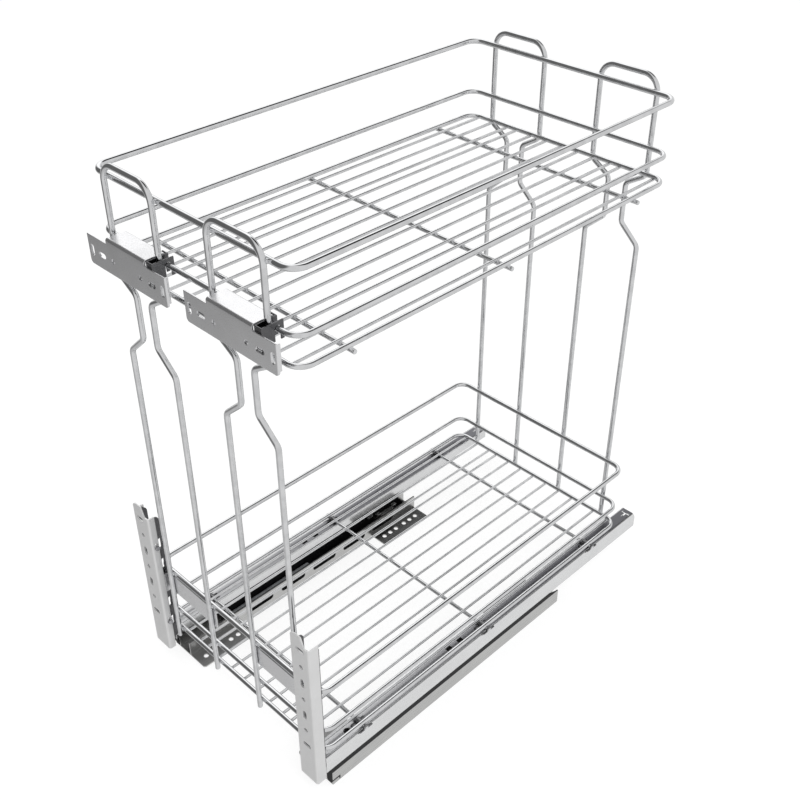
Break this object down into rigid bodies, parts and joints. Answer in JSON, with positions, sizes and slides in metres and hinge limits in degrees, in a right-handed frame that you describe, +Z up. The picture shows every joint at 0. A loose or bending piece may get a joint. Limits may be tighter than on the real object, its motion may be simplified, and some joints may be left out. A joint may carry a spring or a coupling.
{
  "type": "pull out cabinet basket",
  "caption": "Chromed wire baskets, one above the other, that slide out of a narrow base cabinet on full-extension runners, with plates and brackets that carry the door.",
  "frame": {"origin": "on the cabinet floor, under the middle of the closed assembly's box", "axes": "+X to the right, -Y the way the basket pulls out, +Z up"},
  "size_m": [0.252, 0.489, 0.5542],
  "materials": {
    "chrome_wire": "chrome-plated steel wire, bright",
    "bracket_steel": "satin zinc-plated sheet",
    "rail_steel": "smooth zinc-plated rolled sheet",
    "dark_steel": "passivated punched sheet",
    "screw_steel": "zinc-plated",
    "roller_steel": "ground",
    "black_plastic": "moulded, matt",
    "grey_plastic": "moulded, satin"
  },
  "bodies": {
    "root": {"left_cabinet_rail": "rail_steel", "left_guide_strip": "black_plastic", "left_front_cap": "black_plastic", "left_soft_close_housing": "black_plastic", "left_damper": "grey_plastic", "right_cabinet_rail": "rail_steel", "right_guide_strip": "black_plastic", "right_front_cap": "black_plastic", "right_soft_close_housing": "black_plastic", "right_damper": "grey_plastic"},
    "carriage": {"lower_base_ring": "chrome_wire", "lower_mid_ring": "chrome_wire", "lower_rim_ring": "chrome_wire", "lower_floor_wires": "chrome_wire", "lower_cross_wires": "chrome_wire", "upper_base_ring": "chrome_wire", "upper_mid_ring": "chrome_wire", "upper_rim_ring": "chrome_wire", "upper_floor_wires": "chrome_wire", "upper_cross_wires": "chrome_wire", "front_left_upright": "chrome_wire", "front_right_upright": "chrome_wire", "rear_left_upright": "chrome_wire", "rear_right_upright": "chrome_wire", "left_door_plate": "bracket_steel", "right_door_plate": "bracket_steel", "left_plate_clip": "dark_steel", "right_plate_clip": "dark_steel", "left_door_bracket": "bracket_steel", "right_door_bracket": "bracket_steel", "left_adjuster": "dark_steel", "right_adjuster": "dark_steel", "left_arm": "bracket_steel", "right_arm": "bracket_steel", "left_bracket_screws": "screw_steel", "right_bracket_screws": "screw_steel", "left_wire_clips": "dark_steel", "right_wire_clips": "dark_steel", "left_drawer_rail": "rail_steel", "right_drawer_rail": "rail_steel"},
    "left_middle": {"left_middle_rail": "rail_steel"},
    "left_lower_rolling": {"left_lower_cage": "black_plastic", "left_lower_rollers": "roller_steel"},
    "left_upper_rolling": {"left_upper_cage": "black_plastic", "left_upper_rollers": "roller_steel"},
    "left_soft_close": {"left_catch": "rail_steel", "left_damper_rod": "screw_steel"},
    "right_middle": {"right_middle_rail": "rail_steel"},
    "right_lower_rolling": {"right_lower_cage": "black_plastic", "right_lower_rollers": "roller_steel"},
    "right_upper_rolling": {"right_upper_cage": "black_plastic", "right_upper_rollers": "roller_steel"},
    "right_soft_close": {"right_catch": "rail_steel", "right_damper_rod": "screw_steel"}
  },
  "joints": [
    {"name": "basket_slide", "type": "slide", "parent": "root", "child": "carriage", "axis": [0, -1, 0], "range_m": [0, 0.43]},
    {"name": "left_middle_slide", "type": "slide", "parent": "root", "child": "left_middle", "axis": [0, -1, 0], "range_m": [0, 0.215]},
    {"name": "left_lower_cage_slide", "type": "slide", "parent": "root", "child": "left_lower_rolling", "axis": [0, -1, 0], "range_m": [0, 0.1075]},
    {"name": "left_upper_cage_slide", "type": "slide", "parent": "root", "child": "left_upper_rolling", "axis": [0, -1, 0], "range_m": [0, 0.3225]},
    {"name": "left_catch_slide", "type": "slide", "parent": "root", "child": "left_soft_close", "axis": [0, -1, 0], "range_m": [0, 0.04]},
    {"name": "right_middle_slide", "type": "slide", "parent": "root", "child": "right_middle", "axis": [0, -1, 0], "range_m": [0, 0.215]},
    {"name": "right_lower_cage_slide", "type": "slide", "parent": "root", "child": "right_lower_rolling", "axis": [0, -1, 0], "range_m": [0, 0.1075]},
    {"name": "right_upper_cage_slide", "type": "slide", "parent": "root", "child": "right_upper_rolling", "axis": [0, -1, 0], "range_m": [0, 0.3225]},
    {"name": "right_catch_slide", "type": "slide", "parent": "root", "child": "right_soft_close", "axis": [0, -1, 0], "range_m": [0, 0.04]}
  ],
  "couplings": [
    {"joint": "left_middle_slide", "follows": "basket_slide", "ratio": 0.5},
    {"joint": "left_lower_cage_slide", "follows": "basket_slide", "ratio": 0.25},
    {"joint": "left_upper_cage_slide", "follows": "basket_slide", "ratio": 0.75},
    {"joint": "right_middle_slide", "follows": "basket_slide", "ratio": 0.5},
    {"joint": "right_lower_cage_slide", "follows": "basket_slide", "ratio": 0.25},
    {"joint": "right_upper_cage_slide", "follows": "basket_slide", "ratio": 0.75}
  ]
}
